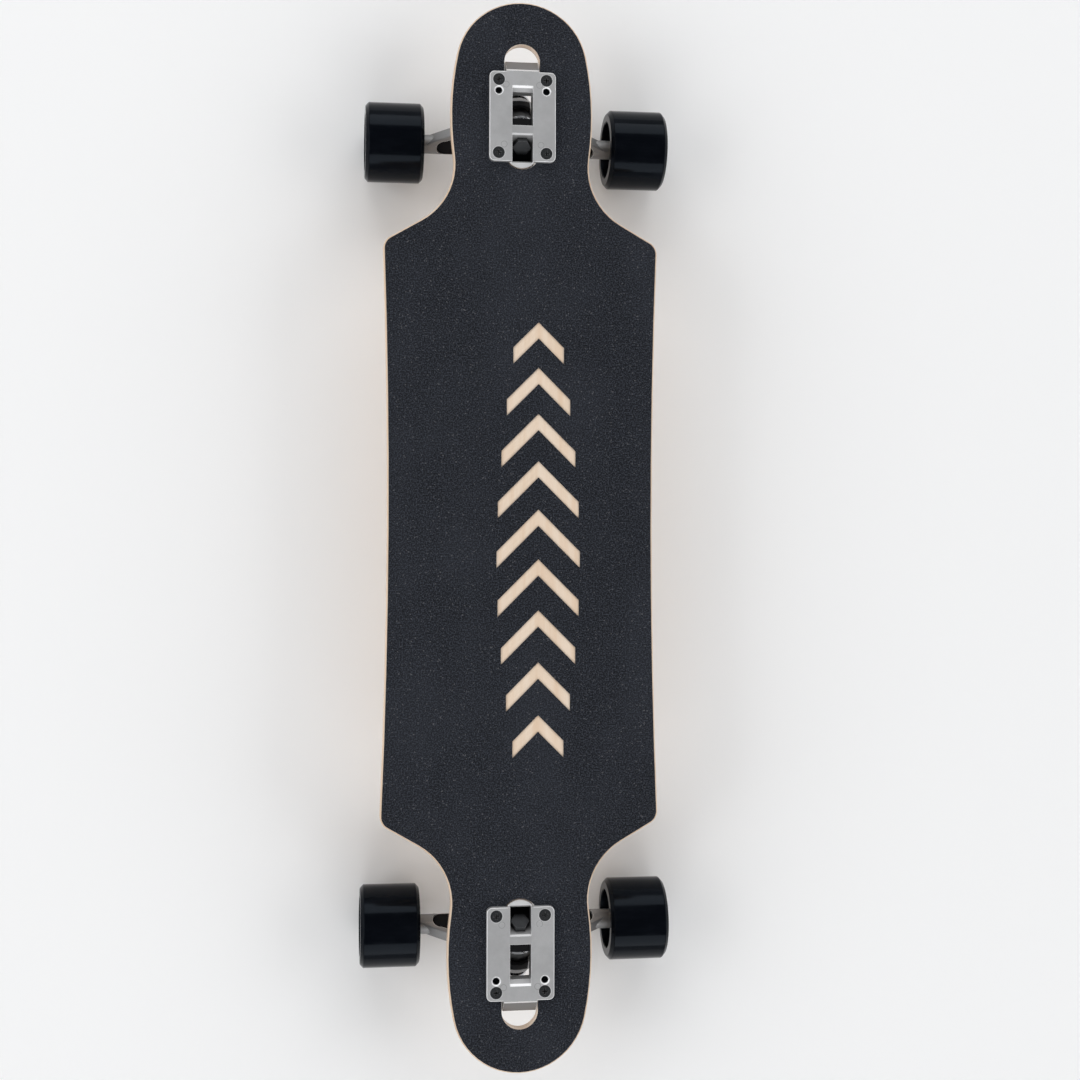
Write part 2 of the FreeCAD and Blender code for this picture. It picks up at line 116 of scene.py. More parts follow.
class BoardSettings(bpy.types.PropertyGroup):
    """Deck and grip tape"""
    maple_light: colour_setting("Maple", "Pale wood between the growth lines", (0.90, 0.74, 0.59))
    maple_dark: colour_setting("Maple grain", "Darker growth lines", (0.82, 0.62, 0.45))
    cross_ply: colour_setting("Cross ply", "End grain of the crosswise plies", (0.56, 0.36, 0.22))
    plies: bpy.props.IntProperty(name="Plies", description="Veneers in the deck", default=7, min=1)
    tape: colour_setting("Tape", "Resin between the grains of the grip tape", (0.0078, 0.0088, 0.0115))
    grain_density: plain_setting("Grains", "Coarse grains per square metre of tape", 140000.0)
    grain_least: length_setting("Smallest grain", "Half width of the smallest loose grain", 0.00016)
    grain_most: length_setting("Largest grain", "Half width of the largest loose grain", 0.00036)


class TruckSettings(bpy.types.PropertyGroup):
    """Castings and steel hardware"""
    casting: colour_setting("Casting", "Raw cast aluminium", (0.60, 0.60, 0.605))
    # also the colour of the painted shade deep under the plate windows and in the spare holes
    hollow_paint_and_shade: colour_setting("Recess", "Paint in the wing hollows", (0.022, 0.022, 0.024))
    zinc: colour_setting("Zinc", "Bright plated steel", (0.62, 0.63, 0.65))
    oxide: colour_setting("Black oxide", "Blackened screws", (0.045, 0.047, 0.050))
    pin_mark: length_setting("Pin mark", "Radius of the ejector pin marks on a baseplate", 0.0026)
    pitch: length_setting("Thread pitch", "Pitch of the visible screw threads", 0.0008)


class WheelSettings(bpy.types.PropertyGroup):
    """Wheels and bearings"""
    urethane: colour_setting("Urethane", "Wheel body", (0.0020, 0.0026, 0.0042))
    core: colour_setting("Core", "Moulded wheel core", (0.012, 0.012, 0.013))
    seal: colour_setting("Seal", "Bearing seals", (0.02, 0.02, 0.022))


class StageSettings(bpy.types.PropertyGroup):
    """Floor, lights and camera"""
    floor: colour_setting("Floor", "Floor paint", (0.97, 0.97, 0.97))
    camera_place: bpy.props.FloatVectorProperty(
        name="Camera", description="Where the camera hangs",
        default=(-0.1703, 0.0062, 1.4614), subtype="TRANSLATION")
    camera_turn: bpy.props.FloatVectorProperty(
        name="Camera turn", description="Camera rotation",
        default=(0.04279, -0.13526, 0.00204), subtype="EULER")
    lens: plain_setting("Lens", "Focal length in millimetres on a 36 mm sensor", 53.87)
    shift: bpy.props.FloatProperty(name="Shift", description="Vertical lens shift", default=-0.080)


# ------------------------------------------------------------------ material helper
class Finish:
    """A procedural material put together node by node."""

    def __init__(self, name):
        self.material = bpy.data.materials.new("fine_" + name)
        self.material.use_nodes = True
        self.tree = self.material.node_tree
        self.shader = self.tree.nodes["Principled BSDF"]

    def feed(self, socket, value):
        if isinstance(value, bpy.types.NodeSocket):
            self.tree.links.new(value, socket)
        else:
            socket.default_value = value

    def add(self, kind, inputs, **settings):
        node = self.tree.nodes.new("ShaderNode" + kind)
        for key, value in settings.items():
            setattr(node, key, value)
        for key, value in inputs.items():
            self.feed(node.inputs[key], value)
        return node

    def surface(self, **values):
        """Set or link sockets of the main shader, with _ for the spaces in their names."""
        for key, value in values.items():
            socket = self.shader.inputs[key.replace("_", " ")]
            if key == "Base_Color" and not isinstance(value, bpy.types.NodeSocket):
                value = (*value, 1)
            self.feed(socket, value)

    def place(self, size=(1, 1, 1), centre=(0, 0, 0), turn=(0, 0, 0)):
        """Object coordinates counted from centre in units of size."""
        source = self.add("TexCoord", {}).outputs["Object"]
        inputs = {"Vector": source, "Location": centre, "Rotation": turn, "Scale": size}
        return self.add("Mapping", inputs, vector_type="TEXTURE").outputs[0]

    def noise(self, vector, scale=1.0, detail=4.0, roughness=0.55):
        inputs = {"Vector": vector, "Scale": scale, "Detail": detail, "Roughness": roughness}
        return self.add("TexNoise", inputs).outputs["Fac"]

    def cells(self, vector, scale=1.0, output="Distance"):
        return self.add("TexVoronoi", {"Vector": vector, "Scale": scale}).outputs[output]

    def axis(self, vector, letter):
        return self.add("SeparateXYZ", {"Vector": vector}).outputs[letter]

    def calc(self, operation, first, second=0.0):
        return self.add("Math", {0: first, 1: second}, operation=operation).outputs[0]

    def all_of(self, *masks):
        total = masks[0]
        for mask in masks[1:]:
            total = self.calc("MULTIPLY", total, mask)
        return total

    def any_of(self, *masks):
        total = masks[0]
        for mask in masks[1:]:
            total = self.calc("MAXIMUM", total, mask)
        return total

    def level(self, value, target, reach):
        """One where value is within reach of target."""
        return self.add("Math", {0: value, 1: target, 2: reach}, operation="COMPARE").outputs[0]

    def dot(self, first, second):
        return self.add("VectorMath", {0: first, 1: second}, operation="DOT_PRODUCT").outputs["Value"]

    def face_normal(self):
        return self.add("NewGeometry", {}).outputs["Normal"]

    def band(self, value, low, high, to_low=0.0, to_high=1.0):
        """Value stretched from low..high to to_low..to_high with soft ends."""
        inputs = {"Value": value, "From Min": low, "From Max": high, "To Min": to_low, "To Max": to_high}
        return self.add("MapRange", inputs, interpolation_type="SMOOTHSTEP").outputs["Result"]

    def mix(self, factor, first, second, blend="MIX"):
        node = self.add("Mix", {"Factor": factor}, data_type="RGBA", blend_type=blend)
        for index, value in ((6, first), (7, second)):
            if not isinstance(value, bpy.types.NodeSocket):
                value = (*value, 1)
            self.feed(node.inputs[index], value)
        return node.outputs[2]

    def bump(self, height, distance, strength=1.0, normal=None):
        inputs = {"Height": height, "Distance": distance, "Strength": strength}
        if normal is not None:
            inputs["Normal"] = normal
        return self.add("Bump", inputs).outputs[0]

    def rounded(self, radius):
        """Normal that softens the sharp machine edges."""
        return self.add("Bevel", {"Radius": radius}, samples=6).outputs[0]

    def edges(self, radius, low=0.02, high=0.25):
        """One along outer and inner edges, nought on flat faces."""
        parting = self.calc("SUBTRACT", 1.0, self.dot(self.face_normal(), self.rounded(radius)))
        return self.band(parting, low, high)

    def plan_fold(self):
        """Object coordinates with the left side and the rear half folded on to the front right."""
        return self.add("VectorMath", {0: self.place()}, operation="ABSOLUTE").outputs[0]

    def plate_axes(self):
        """Distance from the centre line, place along the nearer plate counted outboard, and height."""
        split = self.add("SeparateXYZ", {"Vector": self.plan_fold()}).outputs
        return split["X"], self.calc("SUBTRACT", split["Y"], PLATE_Y), split["Z"]

    def plate_distance(self, spot):
        """Distance in plan from a spot mirrored to both sides of both plates."""
        flat = self.add("VectorMath", {0: self.plan_fold(), 1: (1, 1, 0)}, operation="MULTIPLY").outputs[0]
        target = (spot[0], PLATE_Y + spot[1], 0)
        return self.add("VectorMath", {0: flat, 1: target}, operation="DISTANCE").outputs["Value"]

    def near(self, spots, radius):
        """One within radius of any of the spots on the plates."""
        return self.any_of(*[self.calc("LESS_THAN", self.plate_distance(spot), radius) for spot in spots])


# ------------------------------------------------------------------ finishes
def maple(board):
    """Clear-coated maple, darker on the rounded rims; the edge shows crossing plies and glue lines."""
    finish = Finish("maple")
    low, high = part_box("deck")
    ply = (high.z - low.z + 0.6 * MM) / board.plies
    figure = finish.noise(finish.place(size=(9 * MM, 160 * MM, 9 * MM)), 1.0, 5, 0.6)
    pores = finish.noise(finish.place(size=(0.5 * MM, 9 * MM, 0.5 * MM)), 1.0, 2)
    streak = finish.band(figure, 0.35, 0.7)
    face = finish.mix(streak, board.maple_light, board.maple_dark)
    face = finish.mix(finish.band(pores, 0.56, 0.72, 0, 0.35), face, board.maple_dark)
    height = finish.axis(finish.place(size=(1, 1, ply), centre=(0, 0, low.z - 0.3 * MM)), "Z")
    crosswise = finish.level(finish.calc("MODULO", finish.calc("FLOOR", height), 2.0), 1.0, 0.5)
    dots = finish.noise(finish.place(size=(0.35 * MM, 0.35 * MM, 3 * MM)), 1.0, 2)
    end_grain = finish.mix(finish.band(dots, 0.4, 0.6), board.cross_ply, board.maple_dark)
    colour = finish.mix(finish.calc("MULTIPLY", crosswise, 0.75), face, end_grain)
    seam = finish.calc("PINGPONG", height, 0.5)
    glue = finish.band(seam, 0.03, 0.07, 0.55, 0)
    colour = finish.mix(glue, colour, (0.16, 0.08, 0.035))
    slope = finish.axis(finish.face_normal(), "Z")
    rim = finish.all_of(finish.band(slope, 0, 0.3), finish.band(slope, 0.8, 0.99, 0.75, 0))
    colour = finish.mix(rim, colour, finish.mix(0.5, board.maple_dark, board.cross_ply))
    finish.surface(
        Base_Color=colour, Roughness=finish.band(figure, 0.3, 0.7, 0.36, 0.48),
        Coat_Weight=0.25, Coat_Roughness=0.22, Normal=finish.bump(pores, 0.04 * MM, 0.4))
    return finish.material


def grip(board):
    """Grit tape: near-black resin full of fine grains, a few painted glints on them, and pale scuffs."""
    finish = Finish("grip")
    fine = finish.cells(finish.place(), 1500.0)
    glint = finish.cells(finish.place(), 1150.0, "Color")
    cloud = finish.noise(finish.place(size=(60 * MM, 90 * MM, 60 * MM)), 1.0, 4, 0.6)
    scuff_shape = finish.noise(finish.place(size=(14 * MM, 45 * MM, 30 * MM)), 1.0, 6, 0.7)
    mottle = finish.noise(finish.place(), 800.0, 2, 0.8)
    tape = board.tape
    lifted = [value * 5.0 + 0.008 for value in tape]
    colour = finish.mix(finish.band(mottle, 0.44, 0.62), tape, lifted)
    colour = finish.mix(finish.band(cloud, 0.35, 0.7, 0, 0.22), colour, lifted)
    # painted highlight: sparse pale specks stand in for light glinting off the grains
    painted_highlight = finish.band(finish.axis(glint, "X"), 0.975, 1.0, 0, 0.7)
    colour = finish.mix(painted_highlight, colour, (0.14, 0.14, 0.15))
    scuffs = finish.all_of(finish.band(scuff_shape, 0.66, 0.8), finish.band(mottle, 0.45, 0.6), 0.4)
    colour = finish.mix(scuffs, colour, (0.12, 0.115, 0.11))
    grit = finish.bump(fine, 0.25 * MM, 0.9)
    grit = finish.bump(mottle, 0.35 * MM, 0.6, grit)
    finish.surface(
        Base_Color=colour, Roughness=finish.band(fine, 0.0, 0.6, 0.6, 0.9),
        Specular_IOR_Level=0.12, Normal=grit)
    return finish.material


def grit_grain(board):
    """Loose mineral grains: dark and slightly glassy."""
    finish = Finish("grit_grain")
    tone = finish.axis(finish.cells(finish.place(), 1100.0, "Color"), "X")
    colour = finish.mix(finish.band(tone, 0.85, 1.0), board.tape, (0.07, 0.07, 0.075))
    finish.surface(
        Base_Color=colour, Roughness=finish.band(tone, 0, 1, 0.35, 0.6), Specular_IOR_Level=0.3)
    return finish.material


def cast_aluminium(truck):
    """Cast skin: pebbled and cloudy, with painted highlights on edges and rims, painted shade on sunk and
    low parts, and black paint in the hollows.
    """
    finish = Finish("cast_aluminium")
    pebble = finish.noise(finish.place(), 1300.0, 3, 0.6)
    lumps = finish.noise(finish.place(), 170.0, 3, 0.5)
    cloud = finish.noise(finish.place(), 28.0, 4, 0.6)
    dark = [value * 0.78 for value in truck.casting]
    painted_highlight = [min(1, value * 1.5) for value in truck.casting]
    colour = finish.mix(finish.band(cloud, 0.3, 0.7), dark, truck.casting)
    colour = finish.mix(finish.band(pebble, 0.35, 0.75, 0, 0.35), colour, dark)
    # painted shade: end tab, window ramp and low parts darkened
    colour = finish.mix(painted_shade(finish), colour, [value * 0.42 for value in truck.casting])
    # painted highlight along the edges
    colour = finish.mix(finish.edges(0.8 * MM, 0.01, 0.10), colour, painted_highlight)
    # painted highlight on the plate rims and on the shelf at the inboard end of each slot
    colour = finish.mix(finish.any_of(ledge_highlight(finish), rim_highlights(finish)), colour, painted_highlight)
    marks = pin_marks(finish, truck.pin_mark)
    colour = finish.mix(finish.calc("MULTIPLY", marks, 0.7), colour, [value * 0.6 for value in dark])
    deep_shade = painted_deep_shade(finish)
    # painted shade: near-black deep under the windows and in the spare holes
    colour = finish.mix(deep_shade, colour, truck.hollow_paint_and_shade)
    paint = recess_paint(finish)
    colour = finish.mix(paint, colour, truck.hollow_paint_and_shade)
    normal = finish.bump(lumps, 0.25 * MM, 0.35, finish.rounded(0.6 * MM))
    normal = finish.bump(pebble, 0.07 * MM, 0.5, normal)
    normal = finish.bump(marks, 0.15 * MM, 0.6, normal)
    bare = finish.calc("SUBTRACT", 1.0, finish.any_of(paint, deep_shade))
    rough = finish.calc("ADD", finish.band(cloud, 0.3, 0.7, 0.52, 0.44), finish.calc("MULTIPLY", paint, 0.4))
    finish.surface(
        Base_Color=colour, Metallic=finish.calc("MULTIPLY", bare, 0.55), Roughness=rough,
        Specular_IOR_Level=finish.calc("MULTIPLY", bare, 0.5), Normal=normal)
    return finish.material


def kingpin_axis(sign):
    """Direction of a kingpin from its head to its nut."""
    return Vector((0, sign * math.sin(STEER_ANGLE), -math.cos(STEER_ANGLE)))


def pin_marks(finish, radius):
    """Fine circles left by the ejector pins on the plate tops."""
    circles = []
    for spot in PIN_MARKS:
        off = finish.calc("ABSOLUTE", finish.calc("SUBTRACT", finish.plate_distance(spot), radius))
        circles.append(finish.band(off, 0.12 * MM, 0.35 * MM, 1, 0))
    high = finish.calc("GREATER_THAN", finish.axis(finish.place(), "Z"), PLATE_TOP - 0.8 * MM)
    return finish.all_of(finish.any_of(*circles), high)


def painted_shade(finish):
    """Painted shade on the plate's end tab, on the window ramp and on everything near the road."""
    _, along_plate, height = finish.plate_axes()
    tab = finish.calc("GREATER_THAN", along_plate, PLATE_END + 0.2 * MM)
    sunk = finish.calc("LESS_THAN", height, PLATE_TOP - 0.2 * MM)
    ramp = finish.all_of(sunk, finish.calc("GREATER_THAN", along_plate, -PLATE_END), 0.55)
    low = finish.band(height, 55 * MM, 82 * MM, 0.85, 0)
    return finish.any_of(tab, low, ramp)


def painted_deep_shade(finish):
    """Painted shade on what lies deep under the two windows of a plate, and in its spare holes."""
    across, along_plate, height = finish.plate_axes()
    under = finish.all_of(
        finish.band(height, PLATE_TOP - 11 * MM, PLATE_TOP, 0.97, 0.1),
        finish.band(height, 50 * MM, 56 * MM),
        finish.calc("LESS_THAN", across, WINDOW_HALF + 0.3 * MM),
        finish.calc("LESS_THAN", along_plate, WINDOW_END),
        finish.calc("GREATER_THAN", along_plate, 0.1 * MM - PLATE_END))
    return finish.any_of(under, finish.near((SPARE_HOLE,), SPARE_R + 0.2 * MM))


def rim_highlights(finish):
    """One on the rounded and bevelled rims of the plate tops, which get a painted highlight."""
    slope = finish.axis(finish.face_normal(), "Z")
    high = finish.calc("GREATER_THAN", finish.axis(finish.place(), "Z"), PLATE_TOP - 1.5 * MM)
    return finish.all_of(finish.band(slope, 0.2, 0.4), finish.band(slope, 0.93, 0.99, 1, 0), high)


def ledge_highlight(finish):
    """One on the shelf at the inboard end of each slot, which carries a painted highlight in place of light
    seen through the slot.
    """
    _, along_plate, height = finish.plate_axes()
    inboard = finish.calc("LESS_THAN", along_plate, -PLATE_END - 0.05 * MM)
    return finish.all_of(inboard, finish.calc("GREATER_THAN", height, PLATE_TOP - 9 * MM))


def recess_paint(finish):
    """One on the floors of the hanger's wing hollows, nought elsewhere."""
    floors = []
    for sign in ENDS.values():
        king = kingpin_axis(sign)
        from_ring = finish.place(centre=(0, sign * RING_Y, RING_HEIGHT))
        floors.append(finish.all_of(
            finish.calc("GREATER_THAN", finish.dot(finish.face_normal(), -king), 0.9),
            finish.level(finish.dot(from_ring, king), POCKET_FLOOR, 0.5 * MM)))
    outboard = finish.calc("GREATER_THAN", finish.axis(finish.plan_fold(), "X"), POCKET_X)
    return finish.all_of(finish.any_of(*floors), outboard)


def steel(name, colour, roughness, wear, metallic=1.0):
    """Plated or blackened steel with fine turning marks and rubbed edges."""
    finish = Finish(name)
    grain = finish.noise(finish.place(), 2500.0, 2, 0.5)
    cloud = finish.noise(finish.place(), 160.0, 4, 0.6)
    shade = [value * 0.8 for value in colour]
    base = finish.mix(finish.band(cloud, 0.3, 0.7), shade, colour)
    base = finish.mix(finish.all_of(finish.edges(0.3 * MM), wear), base, (0.55, 0.55, 0.56))
    # painted shade inside the driver crosses of the deck screws
    base = finish.mix(shaded_screw_crosses(finish), base, (0.004, 0.004, 0.004))
    normal = finish.bump(grain, 0.02 * MM, 0.4, finish.rounded(0.25 * MM))
    finish.surface(
        Base_Color=base, Metallic=metallic,
        Roughness=finish.band(cloud, 0.3, 0.7, roughness + 0.08, roughness - 0.06), Normal=normal)
    return finish.material


def shaded_screw_crosses(finish):
    """One inside the driver crosses of the deck screws, where shade is painted."""
    sunk = finish.level(finish.axis(finish.place(), "Z"), PLATE_TOP - 1.4 * MM, 1.1 * MM)
    return finish.all_of(finish.near((SCREW_HALF,), CROSS_R), sunk)


def wheel_urethane(wheel):
    """Cast urethane: deep gloss with a faint haze, fine rolling scratches and a few dusty specks."""
    finish = Finish("wheel_urethane")
    haze = finish.noise(finish.place(size=(30 * MM, 12 * MM, 12 * MM)), 1.0, 5, 0.65)
    scratch = finish.noise(finish.place(size=(0.5 * MM, 7 * MM, 7 * MM)), 1.0, 3, 0.7)
    speck = finish.cells(finish.place(), 420.0)
    dusty = [value * 1.8 + 0.001 for value in wheel.urethane]
    colour = finish.mix(finish.band(haze, 0.4, 0.8, 0, 0.8), wheel.urethane, dusty)
    colour = finish.mix(finish.band(speck, 0.0, 0.07, 0.15, 0), colour, (0.06, 0.06, 0.065))
    scratched = finish.band(scratch, 0.6, 0.8, 0, 0.10)
    rough = finish.calc("ADD", finish.band(haze, 0.3, 0.75, 0.10, 0.20), scratched)
    normal = finish.bump(scratch, 0.02 * MM, 0.25)
    normal = finish.bump(haze, 0.3 * MM, 0.08, normal)
    finish.surface(
        Base_Color=colour, Roughness=rough, Specular_IOR_Level=0.09,
        Specular_Tint=(0.70, 0.84, 1.0, 1), Normal=normal)
    return finish.material


def moulded(name, colour, roughness, texture=900.0, depth=0.03 * MM):
    """Moulded plastic or rubber with a fine skin."""
    finish = Finish(name)
    skin = finish.noise(finish.place(), texture, 3, 0.6)
    cloud = finish.noise(finish.place(), 90.0, 3, 0.6)
    lighter = [min(1, value * 1.5 + 0.004) for value in colour]
    base = finish.mix(finish.band(cloud, 0.35, 0.75, 0, 0.7), colour, lighter)
    base = finish.mix(finish.all_of(finish.edges(0.4 * MM), 0.5), base, lighter)
    normal = finish.bump(skin, depth, 0.5, finish.rounded(0.35 * MM))
    finish.surface(
        Base_Color=base, Normal=normal,
        Roughness=finish.band(skin, 0.3, 0.7, roughness - 0.05, roughness + 0.07))
    return finish.material


def make_finishes(scene):
    """One finish for each material slot of the record."""
    board, truck, wheel = scene.longboard_board, scene.longboard_truck, scene.longboard_wheel
    maple(board)
    grip(board)
    cast_aluminium(truck)
    wheel_urethane(wheel)
    steel("black_steel", truck.oxide, 0.42, 0.5, 0.7)
    steel("zinc_steel", truck.zinc, 0.27, 0.3)
    steel("bearing_steel", (0.66, 0.67, 0.69), 0.16, 0.1)
    steel("spacer_aluminium", (0.7, 0.7, 0.71), 0.3, 0.2)
    moulded("bushing_urethane", (0.012, 0.012, 0.013), 0.38, 500.0, 0.05 * MM)
    moulded("core_plastic", wheel.core, 0.3)
    moulded("shield_rubber", wheel.seal, 0.5)
    moulded("cup_rubber", (0.03, 0.03, 0.03), 0.6)
    moulded("cage_plastic", (0.62, 0.58, 0.46), 0.4)


def finish_of(name):
    return bpy.data.materials["fine_" + name]


def dress(node, name):
    """Give a carried CAD node its finish."""
    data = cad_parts[node].data
    data.materials.clear()
    data.materials.append(finish_of(name))


# ------------------------------------------------------------------ geometry helper
class Tree:
    """A geometry node group put together node by node."""

    def __init__(self, name, inputs):
        self.group = bpy.data.node_groups.new(name, "GeometryNodeTree")
        face = self.group.interface
        face.new_socket(name="Geometry", in_out="OUTPUT", socket_type="NodeSocketGeometry")
        self.sockets = {}
        for label, kind in {"Geometry": "Geometry", **inputs}.items():
            made = face.new_socket(name=label, in_out="INPUT", socket_type="NodeSocket" + kind)
            self.sockets[label] = made.identifier
        self.source = self.group.nodes.new("NodeGroupInput").outputs

    def add(self, kind, inputs, **settings):
        node = self.group.nodes.new(kind)
        for key, value in settings.items():
            setattr(node, key, value)
        for key, value in inputs.items():
            if isinstance(value, bpy.types.NodeSocket):
                self.group.links.new(value, node.inputs[key])
            else:
                node.inputs[key].default_value = value
        return node.outputs[0]

    def close(self, geometry):
        """End in Realize Instances and Set Material."""
        real = self.add("GeometryNodeRealizeInstances", {"Geometry": geometry})
        done = self.add("GeometryNodeSetMaterial", {"Geometry": real, "Material": self.source["Finish"]})
        out = self.group.nodes.new("NodeGroupOutput")
        self.group.links.new(done, out.inputs[0])
        return self


def grit_tree():
    """Four-sided grains scattered over the upward faces."""
    tree = Tree("scatter_grit", {
        "Density": "Float", "Smallest": "Float", "Largest": "Float", "Seed": "Int", "Finish": "Material"})
    given = tree.source
    normal = tree.add("GeometryNodeInputNormal", {})
    split = tree.group.nodes.new("ShaderNodeSeparateXYZ")
    tree.group.links.new(normal, split.inputs[0])
    upward = tree.add("FunctionNodeCompare", {0: split.outputs["Z"], 1: 0.9}, operation="GREATER_THAN")
    points = tree.add("GeometryNodeDistributePointsOnFaces", {
        "Mesh": given["Geometry"], "Selection": upward, "Density": given["Density"], "Seed": given["Seed"]})
    grain = tree.add("GeometryNodeMeshCone", {
        "Vertices": 4, "Radius Top": 0.0, "Radius Bottom": 1.0, "Depth": 1.3})
    turn = tree.add("FunctionNodeRandomValue", {
        0: (-0.5, -0.5, 0.0), 1: (0.5, 0.5, 2 * math.pi), "Seed": 3}, data_type="FLOAT_VECTOR")
    size = tree.group.nodes.new("FunctionNodeRandomValue")
    tree.group.links.new(given["Smallest"], size.inputs[2])
    tree.group.links.new(given["Largest"], size.inputs[3])
    size.inputs["Seed"].default_value = 5
    grains = tree.add("GeometryNodeInstanceOnPoints", {
        "Points": points, "Instance": grain, "Rotation": turn, "Scale": size.outputs[1]})
    return tree.close(grains)


def ring_tree():
    """A round bead set on each point, lying in the XY plane."""
    tree = Tree("ring_on_points", {"Radius": "Float", "Bead": "Float", "Finish": "Material"})
    given = tree.source
    path = tree.add("GeometryNodeCurvePrimitiveCircle", {"Resolution": 40, "Radius": given["Radius"]})
    section = tree.add("GeometryNodeCurvePrimitiveCircle", {"Resolution": 8, "Radius": given["Bead"]})
    ring = tree.add("GeometryNodeCurveToMesh", {"Curve": path, "Profile Curve": section})
    rings = tree.add("GeometryNodeInstanceOnPoints", {"Points": given["Geometry"], "Instance": ring})
    return tree.close(rings)


def thread_tree():
    """A helical thread ridge rising along Z from each point."""
    tree = Tree("thread_on_points", {
        "Radius": "Float", "Pitch": "Float", "Turns": "Float", "Finish": "Material"})
    given = tree.source
    length = tree.add("ShaderNodeMath", {0: given["Pitch"], 1: given["Turns"]}, operation="MULTIPLY")
    ridge = tree.add("ShaderNodeMath", {0: given["Pitch"], 1: 0.38}, operation="MULTIPLY")
    helix = tree.add("GeometryNodeCurveSpiral", {
        "Resolution": 24, "Rotations": given["Turns"], "Start Radius": given["Radius"],
        "End Radius": given["Radius"], "Height": length})
    section = tree.add("GeometryNodeCurvePrimitiveCircle", {"Resolution": 4, "Radius": ridge})
    thread = tree.add("GeometryNodeCurveToMesh", {
        "Curve": helix, "Profile Curve": section, "Fill Caps": True})
    threads = tree.add("GeometryNodeInstanceOnPoints", {"Points": given["Geometry"], "Instance": thread})
    return tree.close(threads)


def grow(name, mesh, tree, **inputs):
    """New piece from a tree run on a mesh, left as plain geometry."""
    piece = bpy.data.objects.new(name, mesh)
    bpy.context.scene.collection.objects.link(piece)
    modifier = piece.modifiers.new("grow", "NODES")
    modifier.node_group = tree.group
    for label, value in inputs.items():
        modifier[tree.sockets[label]] = value
    bpy.context.view_layer.update()
    graph = bpy.context.evaluated_depsgraph_get()
    made = bpy.data.meshes.new_from_object(piece.evaluated_get(graph))
    piece.modifiers.clear()
    piece.data = made
    return piece


def points_mesh(name, points):
    mesh = bpy.data.meshes.new(name)
    mesh.from_pydata([tuple(p) for p in points], [], [])
    return mesh


def mirrored_turn(sign):
    """The rear truck is the front one turned half round about Z."""
    return Matrix.Identity(4) if sign > 0 else Matrix.Rotation(math.pi, 4, "Z")


def along(axis, origin):
    """Frame whose Z runs along axis, at origin."""
    turn = Vector((0, 0, 1)).rotation_difference(Vector(axis)).to_matrix().to_4x4()
    return Matrix.Translation(origin) @ turn


def join(name, pieces):
    """One mesh object from several."""
    with bpy.context.temp_override(
            active_object=pieces[0], object=pieces[0],
            selected_objects=pieces, selected_editable_objects=pieces):
        bpy.ops.object.join()
    pieces[0].name = name
    return pieces[0]


def settle(piece, body):
    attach(piece, body)
    return piece


# ------------------------------------------------------------------ operators
class LONGBOARD_OT_finishes(bpy.types.Operator):
    """Mix every finish and put it on the carried parts"""
    bl_idname = "longboard.finishes"
    bl_label = "Finish the parts"

    def execute(self, context):
        make_finishes(context.scene)
        dress("deck", "maple")
        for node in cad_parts:
            for part, slot in CARRIED.items():
                if node == part or node.endswith("_" + part):
                    dress(node, slot)
        return {"FINISHED"}


class LONGBOARD_OT_grit(bpy.types.Operator):
    """Scatter coarse grains over the grip tape"""
    bl_idname = "longboard.grit"
    bl_label = "Scatter grit"

    def execute(self, context):
        board = context.scene.longboard_board
        grit_grain(board)
        grains = grow(
            "grip_grains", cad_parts["grip_tape"].data.copy(), grit_tree(),
            Density=board.grain_density, Smallest=board.grain_least, Largest=board.grain_most,
            Seed=11, Finish=finish_of("grit_grain"))
        settle(grains, "board")
        return {"FINISHED"}


class LONGBOARD_OT_threads(bpy.types.Operator):
    """Thread ridges on the bare ends of the deck screws and kingpins"""
    bl_idname = "longboard.threads"
    bl_label = "Cut threads"

    def execute(self, context):
        truck = context.scene.longboard_truck
        tree = thread_tree()
        for end, sign in ENDS.items():
            self.screw_threads(end, sign, truck, tree)
            self.kingpin_thread(end, sign, truck, tree)
        return {"FINISHED"}

    @staticmethod
    def screw_threads(end, sign, truck, tree):
        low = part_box(end + "_deck_screws")[0].z
        nut_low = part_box(end + "_deck_nuts")[0].z
        half_x, half_y = SCREW_HALF
        spots = [Vector((x, PLATE_Y + y, low)) for x in (-half_x, half_x) for y in (-half_y, half_y)]
        threads = grow(
            end + "_screw_threads", points_mesh("screw_spots", spots), tree,
            Radius=SCREW_THREAD_R, Pitch=truck.pitch, Turns=(nut_low - low) / truck.pitch,
            Finish=finish_of("black_steel"))
        threads.data.transform(mirrored_turn(sign))
        settle(threads, "board")

    @staticmethod
    def kingpin_thread(end, sign, truck, tree):
        king = kingpin_axis(1)
        start = Vector((0, RING_Y, RING_HEIGHT)) + king * KINGPIN_THREAD_START
        thread = grow(
            end + "_kingpin_thread", points_mesh("kingpin_end", [(0, 0, 0)]), tree,
            Radius=KINGPIN_THREAD_R, Pitch=truck.pitch, Turns=2.0, Finish=finish_of("black_steel"))
        thread.data.transform(mirrored_turn(sign) @ along(king, start))
        settle(thread, "board")


class LONGBOARD_OT_seals(bpy.types.Operator):
    """Raised beads on the bearing seals"""
    bl_idname = "longboard.seals"
    bl_label = "Bearing seals"
    radii = (7.1 * MM, 8.8 * MM)

    def execute(self, context):
        tree = ring_tree()
        for end in ENDS:
            for side, sign in SIDES.items():
                self.beads(end + "_" + side, sign, tree)
        return {"FINISHED"}

    def beads(self, wheel, sign, tree):
        low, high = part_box(wheel + "_bearing_shields")
        middle = (low + high) / 2
        spots = [(0, 0, low.x - middle.x), (0, 0, high.x - middle.x)]
        rings = [
            grow("bead", points_mesh("seal_spots", spots), tree,
                 Radius=radius, Bead=0.14 * MM, Finish=finish_of("shield_rubber"))
            for radius in self.radii]
        piece = join(wheel + "_seal_beads", rings)
        piece.data.transform(along((1, 0, 0), middle))
        settle(piece, wheel + "_wheel")


